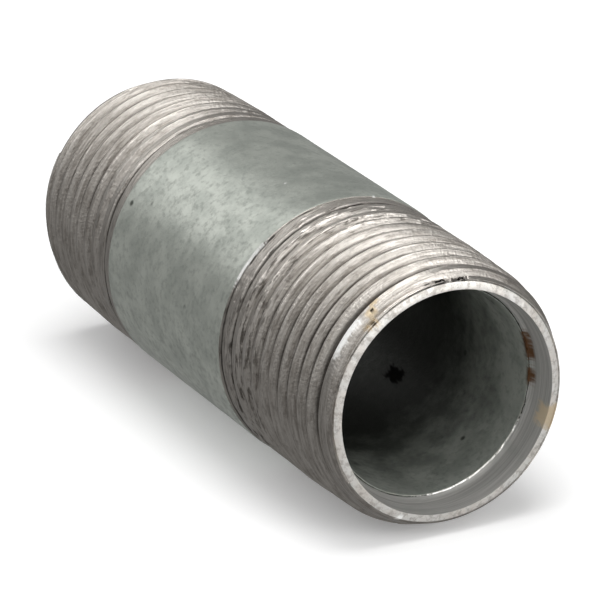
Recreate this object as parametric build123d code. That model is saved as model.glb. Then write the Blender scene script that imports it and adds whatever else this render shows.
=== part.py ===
from build123d import *
import os
from math import atan, ceil, cos, degrees, radians, tan

# A threaded pipe nipple: one short length of galvanised steel pipe with a tapered pipe thread cut on
# each end. The pipe's axis is X and the origin is the middle of its box. The front end is at +X, the
# rear end at -X, and every length is in millimetres.
#
# Nodes:
#   pipe_steel       the pipe itself, with both threads, both bevels and both reamed mouths
#   outer_zinc_coat  the zinc left on the barrel between the two threads
#   inner_zinc_coat  the zinc left in the bore between the two reamed mouths

INCH = 25.4

# The pipe: 3/4 in nominal, Schedule 40, cut to 2-1/2 in.
LENGTH = 2.5 * INCH
PIPE_OD = 1.050 * INCH
PIPE_ID = 0.824 * INCH
ZINC_THICKNESS = 0.08

# The thread: 3/4-14 NPT, right hand, 60 degree flanks, tapered 1 in 16 on diameter.
PITCH = INCH / 14
RADIUS_TAPER = 1 / 32
PITCH_DIAMETER_AT_END = 0.96768 * INCH
THREAD_HEIGHT = 0.8 * PITCH
FLANK_ANGLE = 30
ROOT_FLAT = 0.02
FRONT_THREAD_LENGTH = 11.5 * PITCH
REAR_THREAD_LENGTH = 10 * PITCH
VANISH_LENGTH = 3.47 * PITCH

# The mouths: a turned bevel outside and a shallow reamed cone inside.
END_FACE_OD = 23.6
BEVEL_LENGTH = 2.8
REAM_MOUTH_D = 22.2
REAM_INNER_D = 21.66
REAM_DEPTH = 3.3

# Each thread's cutter is made on a longer cone, and this much of it runs past the end face.
LEAD_IN_LENGTH = 4
# The cutter's flanks run this far past the crest, so that no edge lies on it.
CREST_CLEARANCE = 0.08
# The groove that fades out starts this many turns early and this much shallower than the full one.
RUN_OUT_OVERLAP_TURNS = 0.25
RUN_OUT_STEP = 0.02

HALF_LENGTH = LENGTH / 2
PIPE_RADIUS = PIPE_OD / 2
BORE_RADIUS = PIPE_ID / 2
CREST_RADIUS_AT_END = PITCH_DIAMETER_AT_END / 2 + THREAD_HEIGHT / 2
ROOT_RADIUS_AT_END = PITCH_DIAMETER_AT_END / 2 - THREAD_HEIGHT / 2
CREST_CONE_LENGTH = (PIPE_RADIUS - CREST_RADIUS_AT_END) / RADIUS_TAPER


def crest_radius(distance):
    """The radius of the thread's crest at that distance from the end face."""
    return CREST_RADIUS_AT_END + distance * RADIUS_TAPER


def root_radius(distance):
    """The radius of the thread's root at that distance from the end face."""
    return ROOT_RADIUS_AT_END + distance * RADIUS_TAPER


def turned(*outline):
    """The solid turned about Z from points given as (radius, height)."""
    return revolve(Plane.XZ * make_face(Polyline(*outline, close=True)), Axis.Z)


def pipe_blank():
    """The bevelled and reamed pipe before its threads are cut. It stands on Z = 0."""
    return turned(
        (REAM_MOUTH_D / 2, 0),
        (END_FACE_OD / 2, 0),
        (crest_radius(BEVEL_LENGTH), BEVEL_LENGTH),
        (PIPE_RADIUS, CREST_CONE_LENGTH),
        (PIPE_RADIUS, LENGTH - CREST_CONE_LENGTH),
        (crest_radius(BEVEL_LENGTH), LENGTH - BEVEL_LENGTH),
        (END_FACE_OD / 2, LENGTH),
        (REAM_MOUTH_D / 2, LENGTH),
        (REAM_INNER_D / 2, LENGTH - REAM_DEPTH),
        (BORE_RADIUS, LENGTH - REAM_DEPTH),
        (BORE_RADIUS, REAM_DEPTH),
        (REAM_INNER_D / 2, REAM_DEPTH),
    )


def helical_groove(start, root, turns, cone_angle):
    """A V groove's solid that winds up Z from that height and root radius, on a cone of that half angle."""
    rim = root + THREAD_HEIGHT + CREST_CLEARANCE
    half_root = ROOT_FLAT / 2
    half_rim = half_root + (rim - root) * tan(radians(FLANK_ANGLE))
    section = Plane.XZ * Polygon(
        (root, start - half_root),
        (rim, start - half_rim),
        (rim, start + half_rim),
        (root, start + half_root),
        align=None,
    )
    path = Helix(
        pitch=PITCH / cos(radians(cone_angle)),
        height=turns * PITCH,
        radius=root,
        center=(0, 0, start),
        cone_angle=cone_angle,
    )
    return sweep(section, path=path, is_frenet=True)


def threaded_cone(full_length):
    """A cone as long as the pipe, with the full-depth thread cut in its small end."""
    cone = turned(
        (0, -LEAD_IN_LENGTH),
        (crest_radius(-LEAD_IN_LENGTH), -LEAD_IN_LENGTH),
        (crest_radius(LENGTH + LEAD_IN_LENGTH), LENGTH + LEAD_IN_LENGTH),
        (0, LENGTH + LEAD_IN_LENGTH),
    )
    turns = ceil(full_length / PITCH) + 1
    start = full_length - turns * PITCH
    return cone - helical_groove(start, root_radius(start), turns, degrees(atan(RADIUS_TAPER)))


def run_out_groove(full_length):
    """The groove where the thread fades out, which climbs from full depth to the pipe's surface.

    It starts inside the end of the full-depth groove, a little shallower, so that no two faces coincide.
    """
    start = full_length - RUN_OUT_OVERLAP_TURNS * PITCH
    root = root_radius(full_length) + RUN_OUT_STEP
    run = VANISH_LENGTH + RUN_OUT_OVERLAP_TURNS * PITCH
    groove = helical_groove(start, root, ceil(run / PITCH), degrees(atan((PIPE_RADIUS - root) / run)))
    return Rot(0, 0, -360 * RUN_OUT_OVERLAP_TURNS) * groove


def pipe_steel():
    """The pipe with both threads cut."""
    rear_end = Location((0, 0, 0))
    front_end = Location((0, 0, LENGTH), (180, 0, 0))
    pipe = pipe_blank()
    for place, thread_length in ((rear_end, REAR_THREAD_LENGTH), (front_end, FRONT_THREAD_LENGTH)):
        full_length = thread_length - VANISH_LENGTH
        pipe = pipe & (place * threaded_cone(full_length))
        pipe = pipe - place * run_out_groove(full_length)
    return Location((-HALF_LENGTH, 0, 0), (0, 90, 0)) * pipe


def sleeve(outer_radius, inner_radius, low, high):
    """A plain tube along X between two places on the axis."""
    wall = Circle(outer_radius) - Circle(inner_radius)
    return Plane.YZ.offset(low) * extrude(wall, high - low)


def outer_zinc_coat():
    """The zinc on the barrel, from one thread's last mark to the other's."""
    return sleeve(
        PIPE_RADIUS + ZINC_THICKNESS,
        PIPE_RADIUS,
        -HALF_LENGTH + REAR_THREAD_LENGTH,
        HALF_LENGTH - FRONT_THREAD_LENGTH,
    )


def inner_zinc_coat():
    """The zinc in the bore, from one ream to the other."""
    return sleeve(
        BORE_RADIUS,
        BORE_RADIUS - ZINC_THICKNESS,
        -HALF_LENGTH + REAM_DEPTH,
        HALF_LENGTH - REAM_DEPTH,
    )


os.makedirs("parts", exist_ok=True)
for make_node in (pipe_steel, outer_zinc_coat, inner_zinc_coat):
    export_step(make_node(), f"parts/{make_node.__name__}.step")
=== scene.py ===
import math

import bpy
import numpy as np
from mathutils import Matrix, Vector


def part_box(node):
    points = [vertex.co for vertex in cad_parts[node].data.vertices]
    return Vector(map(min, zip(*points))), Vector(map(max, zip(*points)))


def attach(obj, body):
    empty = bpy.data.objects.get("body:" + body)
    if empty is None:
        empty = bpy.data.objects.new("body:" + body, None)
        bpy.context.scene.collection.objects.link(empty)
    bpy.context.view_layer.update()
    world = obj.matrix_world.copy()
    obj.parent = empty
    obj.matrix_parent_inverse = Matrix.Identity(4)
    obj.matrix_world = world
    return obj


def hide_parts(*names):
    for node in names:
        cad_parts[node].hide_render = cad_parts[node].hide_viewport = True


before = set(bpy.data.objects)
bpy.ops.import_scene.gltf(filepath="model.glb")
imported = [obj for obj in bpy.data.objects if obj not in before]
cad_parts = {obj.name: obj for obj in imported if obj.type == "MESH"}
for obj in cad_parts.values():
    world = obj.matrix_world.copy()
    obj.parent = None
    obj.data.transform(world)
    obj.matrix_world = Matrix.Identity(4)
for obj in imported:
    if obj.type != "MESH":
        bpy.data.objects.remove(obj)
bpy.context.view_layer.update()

# A galvanised threaded pipe nipple. The pipe's axis is X, the front end is at +X and every length is in
# metres. A place on a pipe end is given by its distance from that end's face, and by its turn: the share
# of a full circle, from -0.5 to 0.5, counted in the direction in which the right-hand thread goes inward.
# A clock angle is in degrees, 0 at the top of the pipe and growing towards -Y.

MM = 0.001
SEED = 20

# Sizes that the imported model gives.
STEEL_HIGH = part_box("pipe_steel")[1]
BARREL_LOW, BARREL_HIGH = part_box("outer_zinc_coat")
BORE_LOW, BORE_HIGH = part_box("inner_zinc_coat")
HALF_LENGTH = STEEL_HIGH.x
PIPE_RADIUS = STEEL_HIGH.z
BARREL_RADIUS = BARREL_HIGH.z
BORE_RADIUS = BORE_HIGH.z
REAM_DEPTH = HALF_LENGTH - BORE_HIGH.x
FRONT_THREAD_LENGTH = HALF_LENGTH - BARREL_HIGH.x
REAR_THREAD_LENGTH = HALF_LENGTH + BARREL_LOW.x

# The thread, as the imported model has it: 14 threads an inch, 60 degree flanks, tapered 1 in 16.
PITCH = 25.4 * MM / 14
RADIUS_TAPER = 1 / 32
THREAD_HEIGHT = 0.8 * PITCH
PITCH_RADIUS_AT_END = 0.96768 * 25.4 * MM / 2
CREST_RADIUS_AT_END = PITCH_RADIUS_AT_END + THREAD_HEIGHT / 2
ROOT_RADIUS_AT_END = PITCH_RADIUS_AT_END - THREAD_HEIGHT / 2
ROOT_FLAT = 0.02 * MM
VANISH_LENGTH = 3.47 * PITCH

# How the groove's bottom climbs where the thread runs out: 1 would be a straight climb.
RUN_OUT_POWER = 1.5

# The mouth. The thread's mesh starts FACE_DROP from the very end of the pipe, and the last LIP_LENGTH of the
# ream is a ramp in to its torn edge.
FACE_RADIUS = 11.95 * MM
BEVEL_LENGTH = 2.8 * MM
MOUTH_RADIUS = 11.1 * MM
REAM_RADIUS = 10.83 * MM
LIP_LENGTH = 0.45 * MM
FACE_DROP = 0.20 * MM
# The face's rings: how far each is from the outer edge to the inner one, and its drop from the very end.
FACE_PROFILE = ((0.08, 0.36 * MM), (0.15, 0.17 * MM), (0.4, 0.09 * MM), (0.75, 0.02 * MM), (1, 0.01 * MM))
FACE_GRAIN = 0.012 * MM

ZINC_THICKNESS = 0.08 * MM

# The thread's mesh: columns round the pipe, and rows at these places across each pitch, as sixtieths of
# the pitch from the middle of the groove. The column count is a multiple of 60 too, so that each row meets
# the end of the thread at a column.
COLUMNS = 600
ROW_SIXTIETHS = (-28, -25, -20, -12, -5, 0, 5, 12, 20, 25, 28, 30)

# The zinc's mesh.
BARREL_RINGS = 110
BORE_RINGS = 120
BORE_COLUMNS = 400

# The crests are torn towards the barrel: not at all at the first of these shares of the thread's length,
# and fully at the second.
TORN_ZONE = (0.50, 0.85)

# How deep the crests are blunted, torn and roughened, and how deep the nicks beside the front face are.
BLUNT_DEPTH = 0.03 * MM
TEAR_LEAST = 0.02 * MM
TEAR_SPREAD = 0.16 * MM
GRAIN_CLEAN = 0.012 * MM
GRAIN_TORN = 0.075 * MM
NICK_DEPTH = 0.30 * MM

# The ream's torn inner edge: how far it wanders along the pipe, and how far it steps out past the bore.
JAG_DEPTH = 0.16 * MM
LIP_HEIGHT = 0.11 * MM

# Edges that turn by more than this many degrees look sharp.
SHARP_ANGLE = 32

# The steel's materials, by their number on the mesh.
THREADED, FACED, REAMED, LIP = range(4)


# Random surfaces

def smooth_noise(seed, u, v, cells_u, cells_v, octaves=1):
    """Smooth random values from -1 to 1 at u and v, which repeat after 1. Each octave is twice as fine."""
    total = np.zeros(np.broadcast(u, v).shape)
    size = 0.0
    for octave in range(octaves):
        count_u, count_v = cells_u * 2**octave, cells_v * 2**octave
        table = np.random.default_rng(seed * 100 + octave).uniform(-1, 1, (count_u, count_v))
        places_u, places_v = u * count_u, v * count_v
        low_u, low_v = np.floor(places_u).astype(int), np.floor(places_v).astype(int)
        part_u, part_v = places_u - low_u, places_v - low_v
        part_u, part_v = part_u**2 * (3 - 2 * part_u), part_v**2 * (3 - 2 * part_v)
        near = table[low_u % count_u, low_v % count_v] * (1 - part_u)
        near += table[(low_u + 1) % count_u, low_v % count_v] * part_u
        far = table[low_u % count_u, (low_v + 1) % count_v] * (1 - part_u)
        far += table[(low_u + 1) % count_u, (low_v + 1) % count_v] * part_u
        total += (near * (1 - part_v) + far * part_v) / 2**octave
        size += 1 / 2**octave
    return total / size


def ramp(value, start, end):
    """0 before start, 1 after end, and smooth between them."""
    share = np.clip((value - start) / (end - start), 0, 1)
    return share**2 * (3 - 2 * share)


def patch(place, middle, half_width, softness):
    """1 inside a patch and 0 outside it, with a soft edge."""
    return 1 - ramp(np.abs(place - middle), half_width - softness, half_width + softness)


# Marks on the surface

def add_values(piece, name, values, kind="FLOAT"):
    """Point values that the materials read."""
    attribute = piece.data.attributes.new(name, kind, "POINT")
    field = "vector" if kind == "FLOAT_VECTOR" else "value"
    attribute.data.foreach_set(field, np.asarray(values, np.float32).reshape(-1))


# Each mark is its kind, whether it's inside the pipe or outside, its distance from the front face and half
# its reach along the pipe in millimetres, then its clock angle and half its reach round it in degrees.
MARKS = (
    ("stain", "outside", 1.90, 0.35, 33, 3.0),
    ("stain", "outside", 1.35, 0.35, 37, 3.0),
    ("stain", "outside", 0.60, 0.50, 41, 4.0),
    ("dirt", "outside", 0.55, 0.22, 10, 1.5),
    ("dirt", "outside", 0.50, 0.25, 4, 3.0),
    ("dirt", "outside", 0.50, 0.20, -5, 4.0),
    ("dirt", "outside", 0.80, 0.22, -14, 4.0),
    ("dirt", "outside", 1.35, 0.16, 36, 0.9),
    ("dirt", "outside", 0.45, 0.25, 40, 1.2),
    ("polish_and_highlight", "outside", 1.75, 0.50, 52, 11.0),
    ("polish_and_highlight", "outside", 0.10, 0.30, 155, 1.5),
    ("stain", "outside", 0.05, 0.50, -108, 7.0),
    ("stain", "inside", 0.60, 1.10, -108, 6.0),
    ("rust", "inside", 3.20, 0.55, -75, 9.0),
    ("rust", "inside", 3.20, 0.40, -92, 5.0),
    # A painted highlight on the ream's torn lip, low on the +Y side, where light catches it.
    ("lip_highlight", "inside", 3.35, 1.00, -149, 36.0),
    ("dirt", "inside", 24.0, 1.70, -135, 5.0),
    ("polish_and_highlight", "outside", 27.6, 0.20, 12, 0.7),
    ("polish_and_highlight", "outside", 20.9, 0.20, -14, 0.7),
    # A painted highlight: a thin bright line where the edge of the zinc catches light.
    ("polish_and_highlight", "outside", 20.85, 0.16, 50, 12.0),
)
MARK_KINDS = ("dirt", "stain", "rust", "polish_and_highlight", "lip_highlight")
MARK_RAGGEDNESS = 0.35
INSIDE_RADIUS = 11.5 * MM


def add_marks(piece):
    """Point values for the marks on a piece: how much of each kind lies at each vertex, from 0 to 1."""
    positions = np.empty(3 * len(piece.data.vertices))
    piece.data.vertices.foreach_get("co", positions)
    x, y, z = positions.reshape(-1, 3).T
    distance = (HALF_LENGTH - x) / MM
    clock = np.degrees(np.arctan2(-y, z))
    where = np.where(np.hypot(y, z) < INSIDE_RADIUS, "inside", "outside")
    ragged = smooth_noise(SEED + 51, clock / 360, distance / 64, 500, 300, 2)
    totals = {kind: np.zeros(len(x)) for kind in MARK_KINDS}
    for kind, side, middle, reach, angle, half_width in MARKS:
        away = np.abs((clock - angle + 180) % 360 - 180)
        spread = np.maximum(np.abs(distance - middle) / reach, away / half_width)
        share = 1 - ramp(spread + MARK_RAGGEDNESS * ragged, 0.6, 1.1)
        totals[kind] = np.maximum(totals[kind], share * (where == side))
    for kind, values in totals.items():
        add_values(piece, kind, values)


# The pipe's ends

class PipeEnd:
    """One threaded end of the pipe: where its thread runs, and how worn it is."""

    def __init__(self, side, thread_length, tear, seed):
        self.side = side
        self.tear = tear
        self.thread_length = thread_length
        self.full_length = thread_length - VANISH_LENGTH
        self.seed = seed

    def points(self, distance, turn, radius):
        """Places in the frame for distances from the end face, turns and radii."""
        angle = 2 * math.pi * turn
        x = self.side * (HALF_LENGTH - distance)
        y = -self.side * radius * np.sin(angle)
        z = -radius * np.cos(angle)
        return np.stack(np.broadcast_arrays(x, y, z), -1)

    def clock(self, turn):
        """The clock angle of a turn, from -180 to 180 degrees."""
        return (180 - self.side * 360 * turn + 180) % 360 - 180

    def blank_radius(self, distance):
        """The turned pipe before threading: the bevel, the crest cone, then the plain pipe."""
        bevel_top = CREST_RADIUS_AT_END + BEVEL_LENGTH * RADIUS_TAPER
        bevel = FACE_RADIUS + (bevel_top - FACE_RADIUS) * distance / BEVEL_LENGTH
        cone = CREST_RADIUS_AT_END + distance * RADIUS_TAPER
        return np.minimum(np.minimum(bevel, cone), PIPE_RADIUS)

    def root_radius(self, distance):
        """The bottom of the groove, which climbs to the pipe's surface where the thread runs out."""
        full = ROOT_RADIUS_AT_END + np.minimum(distance, self.full_length) * RADIUS_TAPER
        root_at_full = ROOT_RADIUS_AT_END + self.full_length * RADIUS_TAPER
        share = np.maximum(distance - self.full_length, 0) / VANISH_LENGTH
        return full + (PIPE_RADIUS - root_at_full) * share**RUN_OUT_POWER

    def nicks(self, distance, turn):
        """How deep the surface is knocked in beside the face at the top of the front end, from 0 to 1."""
        if self.side < 0:
            return 0 * distance
        where = patch(self.clock(turn), -5, 11, 2) * patch(distance, 0.45 * MM, 0.35 * MM, 0.25 * MM)
        knocks = smooth_noise(self.seed + 8, turn + 0.5, distance / MM / 4, 140, 9, 2)
        return where * ramp(knocks, -0.15, 0.35)

    def thread_radius(self, distance, pitches):
        """The threaded surface. pitches counts grooves: a whole number is the middle of a groove."""
        from_groove = np.abs(pitches - np.round(pitches)) * PITCH
        flank = np.maximum(from_groove - ROOT_FLAT / 2, 0) / math.tan(math.radians(30))
        blank = self.blank_radius(distance)
        return np.minimum(blank, self.root_radius(distance) + flank)

    def torn(self, distance):
        """How torn the crests are, from 0 to 1. They are worst next to the barrel."""
        return self.tear * ramp(distance / self.thread_length, *TORN_ZONE)

    def worn_radius(self, distance, turn, pitches):
        """The threaded surface with its crests worn and torn, never larger than the clean one."""
        untouched = self.thread_radius(distance, pitches)
        crest = np.floor(pitches) + 0.5
        along = (crest + turn + 20) / 40
        across = pitches - crest
        torn = self.torn(distance)
        torn *= 0.35 + 0.65 * ramp(smooth_noise(self.seed + 1, along, along * 0, 160, 1), -0.4, 0.5)
        blunt = BLUNT_DEPTH + BLUNT_DEPTH * smooth_noise(self.seed + 2, along, along * 0, 400, 1, 2)
        bites = ramp(smooth_noise(self.seed + 3, along, across, 2400, 8, 2), 0.05, 0.75)
        cap = self.blank_radius(distance) - blunt - torn * (TEAR_LEAST + TEAR_SPREAD * bites)
        cap += np.where(distance < BEVEL_LENGTH, blunt, 0)
        cap -= NICK_DEPTH * self.nicks(distance, turn)
        grain = smooth_noise(self.seed + 4, along, across, 3600, 9, 2)
        rough = (GRAIN_CLEAN + GRAIN_TORN * torn) * (0.5 + 0.5 * grain)
        return np.minimum(untouched, cap) - rough


def thread_grid(end):
    """Vertices, faces, both rims and the point values of the threaded surface.

    The rows follow the thread, so going once round joins each row to the one a whole pitch further in.
    """
    first = math.floor(-end.full_length / PITCH - 0.5) - 1
    last = math.ceil(VANISH_LENGTH / PITCH + 0.5) + 2
    rows = np.array([whole + part / 60 for whole in range(first, last) for part in ROW_SIXTIETHS])
    turns = np.arange(COLUMNS + 1) / COLUMNS - 0.5
    row_count, per_pitch = len(rows), len(ROW_SIXTIETHS)
    pitches = np.broadcast_to(rows, (COLUMNS, row_count))
    turn = np.broadcast_to(turns[:-1, None], (COLUMNS, row_count))
    distance = end.full_length + (pitches + turn) * PITCH
    tolerance = 1e-9
    low = (distance <= FACE_DROP + tolerance).sum(1) - 1
    high = row_count - (distance >= end.thread_length - tolerance).sum(1)
    held = np.clip(distance, FACE_DROP, end.thread_length)
    radius = end.worn_radius(held, turn, pitches)
    radius = np.where(held >= end.thread_length - tolerance, PIPE_RADIUS, radius)

    def vertex(column, row):
        """The number of a vertex, with the rows past either rim gathered on the rim."""
        wrapped = column == COLUMNS
        column = np.where(wrapped, 0, column)
        row = np.where(wrapped, row + per_pitch, row)
        row = np.clip(row, low[column], high[column])
        return column * row_count + row

    columns, lower = np.meshgrid(np.arange(COLUMNS), np.arange(row_count - 1 - per_pitch), indexing="ij")
    corners = np.stack(
        [
            vertex(columns, lower),
            vertex(columns + 1, lower),
            vertex(columns + 1, lower + 1),
            vertex(columns, lower + 1),
        ],
        -1,
    ).reshape(-1, 4)
    faces = []
    for corner in corners.tolist():
        face = list(dict.fromkeys(corner))
        if len(face) > 2:
            faces.append(face)
    ring = np.arange(COLUMNS)
    depth = (end.blank_radius(held) - radius) / THREAD_HEIGHT
    torn = end.torn(held)
    crest = np.floor(pitches) + 0.5
    lengthwise = (crest + turn) * 2 * math.pi * PIPE_RADIUS
    places = np.stack([lengthwise, (pitches - crest) * PITCH, 0 * lengthwise], -1)
    return {
        "points": end.points(held, turn, radius).reshape(-1, 3),
        "faces": faces,
        "outer_rim": ring * row_count + low,
        "inner_rim": ring * row_count + high,
        "depth": depth.reshape(-1),
        "torn": torn.reshape(-1),
        "groove": (1 - 2 * np.abs(pitches - np.round(pitches))).reshape(-1),
        "places": places.reshape(-1, 3),
    }


def end_rings(end, turns):
    """The rings from the face's outer edge through half of the bore, then back out just under the surface.

    Each is its points and the material that lies between it and the ring before.
    """
    jag = JAG_DEPTH * smooth_noise(end.seed + 6, turns, turns * 0, 70, 1, 3)
    grain = FACE_GRAIN * (1 + smooth_noise(end.seed + 7, turns, turns * 0, 240, 1, 2))
    rings = []
    for share, drop in FACE_PROFILE:
        radius = FACE_RADIUS - (FACE_RADIUS - MOUTH_RADIUS) * share
        rings.append((end.points(grain + drop, turns, radius), FACED))
    for share in (0.12, 0.25, 0.4, 0.55, 0.7, 0.85, 1):
        depth = (REAM_DEPTH - LIP_LENGTH + jag) * share
        radius = MOUTH_RADIUS + (REAM_RADIUS - MOUTH_RADIUS) * share
        rings.append((end.points(depth, turns, radius), REAMED))
    rings.append((end.points(REAM_DEPTH + jag, turns, BORE_RADIUS + LIP_HEIGHT), REAMED))
    rings.append((end.points(REAM_DEPTH + jag + 0.04 * MM, turns, BORE_RADIUS - 0.02 * MM), LIP))
    rings.append((end.points(HALF_LENGTH, turns, BORE_RADIUS), THREADED))
    under_zinc = PIPE_RADIUS - 0.01 * MM
    rings.append((end.points(HALF_LENGTH, turns, under_zinc), THREADED))
    rings.append((end.points(end.thread_length + 0.2 * MM, turns, under_zinc), THREADED))
    return rings


def new_piece(name, points, faces, materials, face_materials, node):
    """A smooth-shaded mesh piece that stands for a CAD node."""
    mesh = bpy.data.meshes.new(name)
    mesh.from_pydata(points.tolist(), [], faces)
    for material in materials:
        mesh.materials.append(material)
    mesh.polygons.foreach_set("material_index", face_materials)
    mesh.polygons.foreach_set("use_smooth", [True] * len(mesh.polygons))
    mesh.set_sharp_from_angle(angle=math.radians(SHARP_ANGLE))
    mesh.update()
    piece = bpy.data.objects.new(name, mesh)
    bpy.context.scene.collection.objects.link(piece)
    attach(piece, "root")
    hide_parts(node)
    add_marks(piece)
    return piece


def strip_faces(before, after, flip):
    """The faces between two closed rings of vertex numbers."""
    ahead, beyond = np.roll(before, -1), np.roll(after, -1)
    faces = np.stack([before, ahead, beyond, after], -1)
    return (faces[:, ::-1] if flip else faces).tolist()


def steel_end(name, end, materials):
    """Half of the steel pipe, closed, with its thread, face, ream and half of its bore."""
    grid = thread_grid(end)
    turns = np.arange(COLUMNS) / COLUMNS - 0.5
    rings = end_rings(end, turns)
    # Known fault: the rear end's points are turned half round, not mirrored, so flipping its faces leaves
    # them pointing inwards.
    flip = end.side < 0
    used = np.unique(np.concatenate([np.asarray(face) for face in grid["faces"]]))
    number = np.full(len(grid["points"]), -1)
    number[used] = np.arange(len(used))
    faces = [[int(number[corner]) for corner in face] for face in grid["faces"]]
    if flip:
        faces = [face[::-1] for face in faces]
    kinds = [THREADED] * len(faces)
    points = [grid["points"][used]]
    ring_start = len(used)
    before = number[grid["outer_rim"]]
    for ring_points, kind in rings:
        after = ring_start + np.arange(COLUMNS)
        faces += strip_faces(before, after, not flip)
        kinds += [kind] * COLUMNS
        points.append(ring_points)
        before, ring_start = after, ring_start + COLUMNS
    faces += strip_faces(before, number[grid["inner_rim"]], not flip)
    kinds += [THREADED] * COLUMNS
    piece = new_piece(name, np.concatenate(points), faces, materials, kinds, "pipe_steel")

    # The rings carry no thread values, except that dirt lies here and there in the dip of the first one.
    extra = len(rings) * COLUMNS
    ring_depths = np.zeros(extra)
    ring_depths[:COLUMNS] = 0.5 + 0.5 * smooth_noise(end.seed + 9, turns, turns * 0, 60, 1, 3)
    add_values(piece, "depth", np.concatenate([grid["depth"][used], ring_depths]))
    for value in ("torn", "groove"):
        add_values(piece, value, np.concatenate([grid[value][used], np.zeros(extra)]))
    places = np.concatenate([grid["places"][used], np.zeros((extra, 3))])
    add_values(piece, "places", places, "FLOAT_VECTOR")
    return piece


def tube_piece(name, profile, rows, columns, material, node):
    """A closed tube: profile gives the radius at arrays of x and turn, rows are (x, inner or outer)."""
    turns = np.arange(columns) / columns
    points, faces = [], []
    for x, place in rows:
        radius = profile(x, turns, place)
        angle = 2 * math.pi * turns
        ring = [np.full(columns, x), -radius * np.sin(angle), radius * np.cos(angle)]
        points.append(np.stack(ring, -1))
    for number in range(len(rows)):
        following = (number + 1) % len(rows)
        before = number * columns + np.arange(columns)
        after = following * columns + np.arange(columns)
        faces += strip_faces(before, after, False)
    return new_piece(name, np.concatenate(points), faces, [material], [0] * len(faces), node)


def barrel_zinc(material):
    """The zinc on the barrel, slightly lumpy, its ends feathered onto the steel."""
    low, high = BARREL_LOW.x, BARREL_HIGH.x
    places = np.linspace(low, high, BARREL_RINGS)
    feather = 0.25 * MM

    def profile(x, turns, place):
        if place == "inner":
            return np.full(len(turns), PIPE_RADIUS - 0.03 * MM)
        along = (x - low) / (high - low)
        lumps = 0.5 + 0.5 * smooth_noise(SEED + 31, turns, np.full_like(turns, along * 0.5), 22, 12, 3)
        edge = np.minimum(ramp(x - low, -0.05 * MM, feather), ramp(high - x, -0.05 * MM, feather))
        worn = (1 - edge) * (ZINC_THICKNESS - 0.005 * MM)
        return BARREL_RADIUS - 0.022 * MM * lumps * edge - worn

    rows = [(x, "outer") for x in places] + [(high, "inner"), (low, "inner")]
    return tube_piece("zinc_on_barrel", profile, rows, COLUMNS, material, "outer_zinc_coat")


def bore_zinc(material):
    """The zinc in the bore, with drips and lumps left by the dipping."""
    low, high = BORE_LOW.x + 0.05 * MM, BORE_HIGH.x - 0.05 * MM
    places = np.linspace(high, low, BORE_RINGS)

    def profile(x, turns, place):
        if place == "outer":
            return np.full(len(turns), BORE_RADIUS - 0.005 * MM)
        along = (x - low) / (high - low)
        streaks = smooth_noise(SEED + 41, turns, np.full_like(turns, along * 0.5), 40, 6, 3)
        return BORE_RADIUS - ZINC_THICKNESS + 0.03 * MM * (0.5 + 0.5 * streaks)

    rows = [(x, "inner") for x in places] + [(low, "outer"), (high, "outer")]
    return tube_piece("zinc_in_bore", profile, rows, BORE_COLUMNS, material, "inner_zinc_coat")


# Materials

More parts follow.
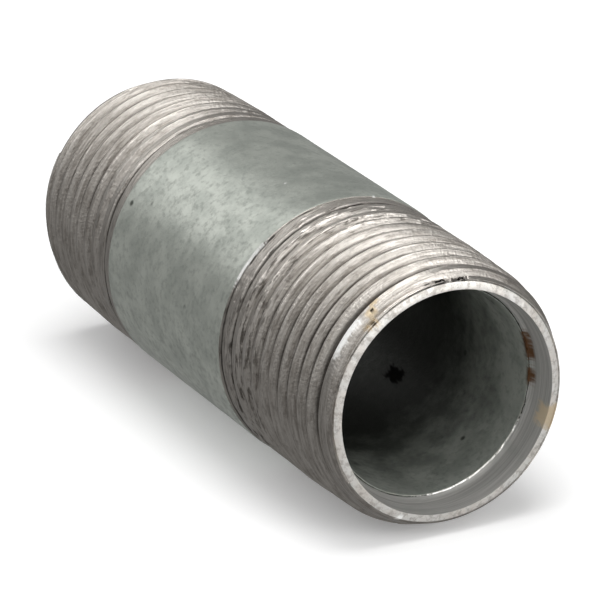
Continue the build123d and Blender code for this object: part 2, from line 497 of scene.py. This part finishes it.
class Finish:
    """A material made of nodes, with short ways to add the ones used here."""

    def __init__(self, name, roughness=0.45, metallic=1.0):
        self.material = bpy.data.materials.new(name)
        self.material.use_nodes = True
        self.nodes = self.material.node_tree.nodes
        self.links = self.material.node_tree.links
        self.shader = self.nodes["Principled BSDF"]
        self.shader.inputs["Roughness"].default_value = roughness
        self.shader.inputs["Metallic"].default_value = metallic
        self.metallic = metallic

    def node(self, kind, values=(), **settings):
        """A new node. values fill its inputs by name, with a number, a colour or another node's output."""
        made = self.nodes.new(kind)
        for name, value in settings.items():
            setattr(made, name, value)
        for name, value in dict(values).items():
            if isinstance(value, bpy.types.NodeSocket):
                self.links.new(value, made.inputs[name])
            else:
                made.inputs[name].default_value = value
        return made

    def place(self, scale):
        """The place on the object, stretched by scale along X, Y and Z."""
        coordinates = self.node("ShaderNodeTexCoord").outputs["Object"]
        return self.node("ShaderNodeMapping", {"Vector": coordinates, "Scale": scale}).outputs["Vector"]

    def along_pipe(self):
        """The place along the pipe's axis."""
        coordinates = self.node("ShaderNodeTexCoord").outputs["Object"]
        return self.node("ShaderNodeSeparateXYZ", {"Vector": coordinates}).outputs["X"]

    def thread_place(self, scale):
        """The place along and across the thread."""
        coordinates = self.node("ShaderNodeAttribute", attribute_name="places").outputs["Vector"]
        return self.node("ShaderNodeMapping", {"Vector": coordinates, "Scale": scale}).outputs["Vector"]

    def value(self, name):
        """A point value of the mesh."""
        return self.node("ShaderNodeAttribute", attribute_name=name).outputs["Fac"]

    def noise(self, vector, scale=1.0, detail=3.0, roughness=0.5):
        """Cloudy noise from 0 to 1."""
        values = {"Vector": vector, "Scale": scale, "Detail": detail, "Roughness": roughness}
        return self.node("ShaderNodeTexNoise", values).outputs["Fac"]

    def spots(self, vector, scale, size):
        """1 in the middle of small round spots, 0 elsewhere."""
        values = {"Vector": vector, "Scale": scale}
        distance = self.node("ShaderNodeTexVoronoi", values).outputs["Distance"]
        return self.between(distance, size, size * 0.5)

    def between(self, value, start, end, low=0.0, high=1.0):
        """low where value is at start, high where it is at end, and a ramp between them."""
        values = {"Value": value, "From Min": start, "From Max": end, "To Min": low, "To Max": high}
        kind = "SMOOTHSTEP" if start < end else "LINEAR"
        return self.node("ShaderNodeMapRange", values, interpolation_type=kind).outputs["Result"]

    def math(self, operation, first, second):
        """Two values combined."""
        made = self.node("ShaderNodeMath", {0: first, 1: second}, operation=operation)
        return made.outputs["Value"]

    def mix(self, share, first, second):
        """first where share is 0, second where it is 1. Both are colours."""
        made = self.node("ShaderNodeMix", data_type="RGBA")
        inputs = [made.inputs[0], made.inputs[6], made.inputs[7]]
        for socket, value in zip(inputs, (share, first, second)):
            if isinstance(value, bpy.types.NodeSocket):
                self.links.new(value, socket)
            else:
                socket.default_value = value
        return made.outputs[2]

    def marked(self, colour):
        """The colour under the stains, rust, dirt and polish that the mesh carries."""
        for kind, tint in MARK_TINTS.items():
            colour = self.mix(self.value(kind), colour, tint)
        return colour

    def finish(self, colour, roughness, height, distance):
        """Connects the colour, roughness, scattering and bump, and returns the material."""
        self.links.new(self.marked(colour), self.shader.inputs["Base Color"])
        dulled = self.math("MAXIMUM", roughness, self.value("dirt"))
        self.links.new(dulled, self.shader.inputs["Roughness"])
        scattering = self.between(self.value("polish_and_highlight"), 0.0, 1.0, self.metallic, POLISH_AND_HIGHLIGHT_METALLIC)
        self.links.new(scattering, self.shader.inputs["Metallic"])
        values = {"Height": height, "Distance": distance, "Strength": 1.0}
        self.links.new(self.node("ShaderNodeBump", values).outputs["Normal"], self.shader.inputs["Normal"])
        return self.material


def rgb(red, green, blue):
    """A colour in linear light."""
    return (red, green, blue, 1.0)


STEEL = rgb(0.68, 0.643, 0.596)
STEEL_DARK = rgb(0.27, 0.24, 0.21)
STEEL_BRIGHT = rgb(0.72, 0.71, 0.68)
REAM_PALE = rgb(0.50, 0.49, 0.47)
REAM_DARK = rgb(0.30, 0.295, 0.28)
# Dark for grime, and for the painted shade deep in the grooves.
GRIME_AND_SHADE = rgb(0.03, 0.025, 0.02)
ZINC = rgb(0.48, 0.51, 0.462)
ZINC_PALE = rgb(0.62, 0.65, 0.59)
ZINC_DARK = rgb(0.26, 0.28, 0.255)
ZINC_SPECK = rgb(0.12, 0.13, 0.11)
# Painted shade, for deep in the bore and for the ream's lip.
BORE_SHADE = rgb(0.030, 0.033, 0.026)

# Scraped metal scatters light, so it looks white rather than like a mirror. The painted highlight along the
# zinc's edge at the front thread uses the same marks.
POLISH_AND_HIGHLIGHT_METALLIC = 0.35

# Between these distances from the pipe's middle, the zinc in the bore goes from painted shade to its own
# colour.
BORE_DARK_FROM = 12 * MM
BORE_DARK_TO = 27 * MM

MARK_TINTS = {
    "stain": rgb(0.58, 0.48, 0.34),
    "rust": rgb(0.10, 0.045, 0.016),
    "dirt": rgb(0.012, 0.010, 0.009),
    "polish_and_highlight": rgb(0.92, 0.92, 0.90),
}


def groove_grime_and_shade(finish, clouds):
    """Where grime and painted shade lie: low in a full groove, where the dark stands for the shade there as
    well as grime, and in a thin line where the groove runs out.
    """
    wander = finish.between(clouds, 0.3, 0.7, -0.05, 0.05)
    low = finish.between(finish.math("ADD", finish.value("depth"), wander), 0.38, 0.62)
    line = finish.between(finish.math("ADD", finish.value("groove"), wander), 0.70, 0.86)
    line = finish.math("MULTIPLY", line, finish.between(finish.value("depth"), 0.02, 0.10))
    line = finish.math("MULTIPLY", line, finish.between(finish.value("torn"), 0.05, 0.30))
    return finish.math("MULTIPLY", finish.math("MAXIMUM", low, line), 0.82)


def thread_steel():
    """Freshly cut steel: fine marks along the thread, oil and grime in the grooves, with painted shade deep
    in them.
    """
    finish = Finish("thread_steel")
    marks = finish.noise(finish.thread_place((120, 9000, 3000)), 1.0, 4.0, 0.6)
    clouds = finish.noise(finish.place((260, 260, 260)), 1.0, 3.0)
    grain = finish.noise(finish.place((3500, 3500, 3500)), 1.0, 2.0)
    colour = finish.mix(finish.between(marks, 0.35, 0.65), STEEL, STEEL_DARK)
    colour = finish.mix(finish.between(clouds, 0.3, 0.7, 0.35, 0.8), colour, STEEL)
    flecks = finish.noise(finish.thread_place((450, 4200, 3000)), 1.0, 5.0, 0.75)
    pitted = finish.math("MULTIPLY", finish.value("torn"), finish.between(flecks, 0.52, 0.66))
    colour = finish.mix(finish.between(flecks, 0.44, 0.66, 0.0, 0.65), colour, STEEL_DARK)
    colour = finish.mix(finish.math("MULTIPLY", pitted, 0.5), colour, GRIME_AND_SHADE)
    # Painted shade: the grooves go dark where they lie deep, for their shade as well as their grime.
    colour = finish.mix(groove_grime_and_shade(finish, clouds), colour, GRIME_AND_SHADE)
    roughness = finish.between(marks, 0.3, 0.7, 0.30, 0.45)
    height = finish.math("SUBTRACT", finish.math("ADD", marks, grain), pitted)
    return finish.finish(colour, roughness, height, 0.00005)


def faced_steel():
    """The end face, cut square, with fine turning marks and a little dirt."""
    finish = Finish("faced_steel", metallic=0.55)
    grain = finish.noise(finish.place((1600, 1600, 1600)), 1.0, 4.0, 0.7)
    clouds = finish.noise(finish.place((500, 500, 500)), 1.0, 4.0, 0.65)
    colour = finish.mix(finish.between(clouds, 0.35, 0.7), STEEL_BRIGHT, STEEL)
    colour = finish.mix(finish.between(grain, 0.45, 0.65, 0.0, 0.55), colour, STEEL_DARK)
    colour = finish.mix(finish.value("depth"), colour, GRIME_AND_SHADE)
    return finish.finish(colour, finish.between(grain, 0.3, 0.7, 0.35, 0.5), grain, 0.00004)


def reamed_steel():
    """The reamed cone inside the mouth, with marks round it."""
    finish = Finish("reamed_steel", metallic=0.35)
    marks = finish.noise(finish.place((4000, 90, 90)), 1.0, 3.0)
    clouds = finish.noise(finish.place((300, 300, 300)), 1.0, 3.0)
    colour = finish.mix(finish.between(marks, 0.25, 0.75), REAM_PALE, REAM_DARK)
    colour = finish.mix(finish.between(clouds, 0.5, 0.8, 0.0, 0.5), colour, ZINC_DARK)
    return finish.finish(colour, finish.between(marks, 0.3, 0.7, 0.36, 0.5), marks, 0.000005)


def lip_steel():
    """The torn edge where the ream ends: painted shade, with a painted highlight at the front end, low on
    the +Y side, where light catches it.
    """
    finish = Finish("lip_steel", metallic=0.5)
    grain = finish.noise(finish.place((2500, 2500, 2500)), 1.0, 3.0)
    # Painted shade on the lip, with a painted highlight where the highlight mark lies.
    colour = finish.mix(finish.value("lip_highlight"), BORE_SHADE, STEEL_BRIGHT)
    return finish.finish(colour, finish.between(grain, 0.3, 0.7, 0.25, 0.45), grain, 0.00003)


def zinc(name, shift, metallic, shaded=False):
    """Dull hot-dip zinc: cloudy, finely grained, with small dark specks. It can carry painted shade deep in
    the bore.
    """
    finish = Finish(name, metallic=metallic)
    values = {0: finish.place((1, 1, 1)), 1: (shift, shift, shift)}
    where = finish.node("ShaderNodeVectorMath", values, operation="ADD").outputs["Vector"]
    clouds = finish.noise(where, 330, 4.0, 0.6)
    flecks = finish.noise(where, 1500, 3.0, 0.6)
    grain = finish.noise(where, 5200, 2.0)
    colour = finish.mix(finish.between(clouds, 0.35, 0.65), ZINC, ZINC_PALE)
    colour = finish.mix(finish.between(flecks, 0.45, 0.75, 0.0, 0.5), colour, ZINC_DARK)
    specks = finish.spots(where, 420, 0.16)
    chosen = finish.between(finish.noise(where, 140, 1.0), 0.53, 0.61)
    colour = finish.mix(finish.math("MULTIPLY", specks, chosen), colour, ZINC_SPECK)
    # Painted shade: the bore's zinc goes dark towards the pipe's middle, where shade falls deep in the tube.
    if shaded:
        from_middle = finish.math("ABSOLUTE", finish.along_pipe(), 0.0)
        uneven = finish.math("ADD", from_middle, finish.between(clouds, 0.3, 0.7, -0.0015, 0.0015))
        untouched = finish.between(uneven, BORE_DARK_FROM, BORE_DARK_TO, 0.0, 0.8)
        colour = finish.mix(untouched, BORE_SHADE, colour)
    roughness = finish.between(flecks, 0.3, 0.7, 0.35, 0.47)
    height = finish.math("ADD", finish.math("MULTIPLY", flecks, 1.5), grain)
    return finish.finish(colour, roughness, height, 0.000012)


# The stage

CAMERA_AZIMUTH = 62.68
CAMERA_ELEVATION = 21.51
CAMERA_DISTANCE = 0.4674
CAMERA_AIM = Vector((0.00265, 0.00003, -0.00036))
CAMERA_LENS = 284.1
FLOOR_SIZE = 3.0
FLOOR_GLOW = 0.2
WORLD_LIGHT = 0.22

# The soft lights, each as its azimuth and elevation in degrees, its width in metres and its power in watts.
SOFTBOXES = (
    (112, 35, 0.7, 1.4),
    (112, 12, 0.7, 4.4),
    (60, 12, 0.7, 0.4),
    (72, 45, 0.7, 0.5),
    (30, 50, 0.7, 2.1),
    (0, 88, 0.7, 5.6),
    (-73, 30, 0.7, 1.1),
)


def direction(azimuth, elevation):
    """The way from the object to something seen at that azimuth and elevation, in degrees."""
    a, e = math.radians(azimuth), math.radians(elevation)
    return Vector((math.sin(a) * math.cos(e), -math.cos(a) * math.cos(e), math.sin(e)))


def add_camera():
    """A long lens at the photograph's viewing angle."""
    data = bpy.data.cameras.new("camera")
    data.lens = CAMERA_LENS
    data.clip_start = 0.01
    data.clip_end = 20
    camera = bpy.data.objects.new("camera", data)
    away = direction(CAMERA_AZIMUTH, CAMERA_ELEVATION)
    camera.location = CAMERA_AIM + away * CAMERA_DISTANCE
    camera.rotation_euler = (-away).to_track_quat("-Z", "Y").to_euler()
    bpy.context.scene.collection.objects.link(camera)
    bpy.context.scene.camera = camera


def add_softbox(azimuth, elevation, size, power):
    """A round soft light that faces the object from a metre away."""
    data = bpy.data.lights.new("softbox", "AREA")
    data.shape = "DISK"
    data.size = size
    data.energy = power
    light = bpy.data.objects.new("softbox", data)
    away = direction(azimuth, elevation)
    light.location = away
    light.rotation_euler = (-away).to_track_quat("-Z", "Y").to_euler()
    bpy.context.scene.collection.objects.link(light)


def add_floor():
    """A plain pale floor that the nipple lies on, which glows a little so that it stays white."""
    half, height = FLOOR_SIZE / 2, BARREL_LOW.z
    corners = [(-half, -half, height), (half, -half, height), (half, half, height), (-half, half, height)]
    mesh = bpy.data.meshes.new("floor")
    mesh.from_pydata(corners, [], [(0, 1, 2, 3)])
    finish = Finish("floor_paper", roughness=0.9, metallic=0.0)
    finish.shader.inputs["Base Color"].default_value = rgb(0.93, 0.93, 0.93)
    finish.shader.inputs["Emission Color"].default_value = rgb(1.0, 1.0, 1.0)
    finish.shader.inputs["Emission Strength"].default_value = FLOOR_GLOW
    mesh.materials.append(finish.material)
    floor = bpy.data.objects.new("floor", mesh)
    bpy.context.scene.collection.objects.link(floor)
    floor.visible_glossy = False


def add_world():
    """Dim even light from all round."""
    world = bpy.data.worlds.new("studio")
    world.use_nodes = True
    background = world.node_tree.nodes["Background"]
    background.inputs["Color"].default_value = rgb(1.0, 1.0, 1.0)
    background.inputs["Strength"].default_value = WORLD_LIGHT
    bpy.context.scene.world = world


# The scene

steel_finishes = [thread_steel(), faced_steel(), reamed_steel(), lip_steel()]
steel_end("steel_front_half", PipeEnd(1, FRONT_THREAD_LENGTH, 1.0, SEED), steel_finishes)
steel_end("steel_rear_half", PipeEnd(-1, REAR_THREAD_LENGTH, 0.3, SEED + 10), steel_finishes)
barrel_zinc(zinc("barrel_zinc", 0.0, metallic=0.8))
bore_zinc(zinc("bore_zinc", 0.37, metallic=0.5, shaded=True))

add_camera()
add_floor()
add_world()
for azimuth, elevation, size, power in SOFTBOXES:
    add_softbox(azimuth, elevation, size, power)
bpy.context.scene.view_settings.view_transform = "Standard"
